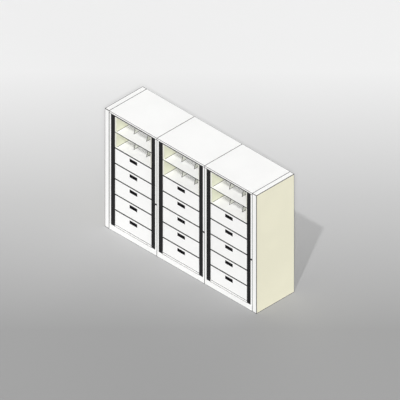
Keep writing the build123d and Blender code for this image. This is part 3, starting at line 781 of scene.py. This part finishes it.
# %% [markdown]
# ## Hems on the drawer trays
#
# The sides and the back of a drawer's tray are thin sheets, which would bend and cut. Their upper
# edge is rolled over into a hem, which makes it stiff and blunt. One path runs along the left
# side, across the back and along the right side, and it rounds the two corners in the back. The
# box of a drawer holds its front and its sliders too, so the tray's own sizes are given here.

# %% Hems on the drawer trays
HEM_RADIUS = 0.0024
TRAY_CORNER = 0.008
TRAY_HALF = 0.343  # from the middle of the bay to the tray's side
TRAY_REAR = 0.030  # from the rotor's axis to the tray's back
TRAY_FRONT = 0.366  # from the rotor's axis to the drawer's front
TRAY_TOP = 0.219  # above the shelf line

for unit, x in enumerate(bays, start=1):
    for tier in range(DRAWERS):
        top = lines[tier] + TRAY_TOP
        left, right = x - TRAY_HALF, x + TRAY_HALF
        front_left, rear_left = (left, -TRAY_FRONT, top), (left, -TRAY_REAR, top)
        rear_right, front_right = (right, -TRAY_REAR, top), (right, -TRAY_FRONT, top)
        path = [
            front_left,
            *rounded(rear_left, front_left, rear_right, TRAY_CORNER),
            *rounded(rear_right, rear_left, front_right, TRAY_CORNER),
            front_right,
        ]
        body = f"drawer_{unit}_{tier + 1}"
        wire(f"tray_hem_{unit}_{tier + 1}", [path], HEM_RADIUS, body, white_coat)
print("tray hems:", UNITS * DRAWERS)

# %% [markdown]
# ## Floor
#
# The floor is plain, and fades from a middle grey near the viewer to a pale grey far away. The
# fade is fixed to the floor and runs along one diagonal, so it stays where it is when the camera
# moves. A fully painted floor would take a heavy shadow. Here a share of its brightness comes
# from below, as on a light table, which keeps the shadow pale and its edge still plain.

# %% The fade as a formula
FLOOR_NEAR = (0.375, 0.375, 0.375)
FLOOR_MIDDLE = (0.596, 0.596, 0.596)
FLOOR_FAR = (0.876, 0.876, 0.876)
FLOOR_FADE = [(0.0, FLOOR_NEAR), (0.5, FLOOR_MIDDLE), (1.0, FLOOR_FAR)]
NEAR_PLACE = -1.8  # along the diagonal, where the fade begins
FAR_PLACE = 4.8  # and where it ends


def diagonal(place):
    """How far a point lies along the diagonal from the near right to the far left."""
    x, y, _ = place.split()
    return (y - x) * math.sqrt(0.5)


def fade(share):
    """The floor's colour, from nought at the near end to one at the far end."""
    return share.node("ShaderNodeValToRGB", {"stops": FLOOR_FADE}, {"Fac": share})


print("the floor fades over", FAR_PLACE - NEAR_PLACE, "m")

# %% A floor that fades from near to far
FLOOR_SIZE = 360.0
FLOOR_GLOW = 0.3  # share of the floor's brightness that comes from below
BLACK = (0.0, 0.0, 0.0)


def floor_paint():
    material, place, _ = begin("studio_floor")
    colour = fade((diagonal(place) - NEAR_PLACE) * (1 / (FAR_PLACE - NEAR_PLACE)))
    mixed = {0: FLOOR_GLOW, 6: colour, 7: rgba(BLACK)}
    inputs = {
        "Base Color": colour.node("ShaderNodeMix", {"data_type": "RGBA"}, mixed, output=2),
        "Roughness": 0.9,
        "Specular IOR Level": 0.0,
        "Emission Color": colour,
        "Emission Strength": FLOOR_GLOW,
    }
    shader = colour.node("ShaderNodeBsdfPrincipled", inputs=inputs)
    colour.node("ShaderNodeOutputMaterial", inputs={"Surface": shader})
    return material


ground = bmesh.new()
bmesh.ops.create_grid(ground, x_segments=1, y_segments=1, size=FLOOR_SIZE / 2)
floor = bpy.data.objects.new("floor", mesh_of("floor", ground))
bpy.context.scene.collection.objects.link(floor)
dress(floor, floor_paint())
print("floor:", FLOOR_SIZE, "m")

# %% [markdown]
# ## Light
#
# A studio lights such a cabinet from high in front and to the right. One distant lamp with a
# narrow angle casts the shadow behind the bank. A stronger one comes from the middle between the
# front, the right and the top, so it lights all three sides alike. Two more with a very wide angle
# stand for big diffusers, one at the right and one behind, and the sky fills the rest. All four
# are suns, because a bank over three metres long would be brighter at one end under a lamp that
# stands close to it.

# %% Lamps
TOWARDS_KEY = (0.314, -0.539, 0.781)
TOWARDS_FILL = (1.0, -1.0, 1.0)
TOWARDS_RIGHT = (0.84, -0.54, 0.05)
TOWARDS_REAR = (-0.55, 0.85, 0.12)
LAMP_DISTANCE = 7.0


def lamp(name, towards, strength, angle):
    """Sun that shines from that direction, with an angle in degrees."""
    direction = Vector(towards)
    light = bpy.data.lights.new(name, "SUN")
    light.energy = strength
    light.angle = math.radians(angle)
    made = bpy.data.objects.new(name, light)
    bpy.context.scene.collection.objects.link(made)
    made.location = direction.normalized() * LAMP_DISTANCE
    made.rotation_euler = direction.to_track_quat("Z", "Y").to_euler()
    return made


lamp("key_lamp", TOWARDS_KEY, strength=1.16, angle=1.5)
front_fill = lamp("front_fill", TOWARDS_FILL, strength=2.15, angle=2.0)
front_fill.visible_glossy = False  # or the tops would mirror it as a white glare, seen from behind
lamp("right_diffuser", TOWARDS_RIGHT, strength=1.08, angle=40.0)
lamp("rear_diffuser", TOWARDS_REAR, strength=1.5, angle=50.0)
print("lamps:", len(bpy.data.lights))

# %% [markdown]
# ## Sky
#
# A white sky all round fills the shadows, but it would also show as a hard white band wherever a
# low view looks past the floor. So the camera and every reflection see another sky than the one
# that lights the bank: it is pale above, and below the horizon it goes on in the floor's own
# colours. Only a ray that starts under the floor gets there. It starts on the viewer's side, so it
# takes the colour that the floor has against its own direction. The light path tells which kind
# of ray is asking, and a Mix Shader picks the sky for it.

# %% One sky that lights, and one that is seen
WHITE_LIGHT = (1.0, 1.0, 1.0)
SKY_STRENGTH = 0.2
SKY_SEEN = (0.88, 0.88, 0.88)
BELOW_HORIZON = -0.02  # a direction with less height than this looks down
SHARE_ACROSS = 0.5  # how far along the fade the floor is for a view across the diagonal
SHARE_TURN = math.sqrt(0.5)  # how much further back it is for a view along the diagonal
FLOOR_AS_LIT = 0.99  # how bright the lamps make the floor, as a share of its colour
SEEING_RAYS = ("Is Camera Ray", "Is Glossy Ray", "Is Transmission Ray")

world = bpy.data.worlds.new("studio_sky")
world.use_nodes = True
world.node_tree.nodes.clear()
sky = Signal(world.node_tree)
seen = sum(sky.node("ShaderNodeLightPath", output=ray) for ray in SEEING_RAYS).ramp(0.0, 1.0)
direction = sky.node("ShaderNodeTexCoord", output="Generated")
upward = direction.split()[2].above(BELOW_HORIZON)
under = fade(SHARE_ACROSS - diagonal(direction) * SHARE_TURN)
backdrop = upward.blend(under, rgba([part / FLOOR_AS_LIT for part in SKY_SEEN]))
lighting_inputs = {"Color": rgba(WHITE_LIGHT), "Strength": SKY_STRENGTH}
lighting = sky.node("ShaderNodeBackground", inputs=lighting_inputs)
shown = sky.node("ShaderNodeBackground", inputs={"Color": backdrop, "Strength": FLOOR_AS_LIT})
glow = sky.node("ShaderNodeMixShader", inputs={0: seen, 1: lighting, 2: shown})
sky.node("ShaderNodeOutputWorld", inputs={"Surface": glow})
bpy.context.scene.world = world
print("sky nodes:", len(world.node_tree.nodes))

# %% [markdown]
# ## Camera
#
# The view is isometric: the camera looks down one diagonal of a cube, and all three directions
# are drawn at one scale. That takes a camera without perspective, turned 45 degrees and raised by
# the angle whose tangent is the square root of one half.

# %% Isometric camera
AZIMUTH = math.radians(45.0)
ELEVATION = math.atan(math.sqrt(0.5))
FRAME_WIDTH = 5.905
AIM = Vector((0.399, -0.391, 1.464))
CAMERA_DISTANCE = 12.0
SEEN_TO = 100.0

level = math.cos(ELEVATION)
back = Vector((math.sin(AZIMUTH) * level, -math.cos(AZIMUTH) * level, math.sin(ELEVATION)))
camera_data = bpy.data.cameras.new("camera")
camera_data.type = "ORTHO"
camera_data.ortho_scale = FRAME_WIDTH
camera_data.clip_end = SEEN_TO
camera = bpy.data.objects.new("camera", camera_data)
camera.location = AIM + back * CAMERA_DISTANCE
camera.rotation_euler = back.to_track_quat("Z", "Y").to_euler()
bpy.context.scene.collection.objects.link(camera)
bpy.context.scene.camera = camera
bpy.context.scene.view_settings.view_transform = "Standard"
print("camera at", [round(part, 2) for part in camera.location])
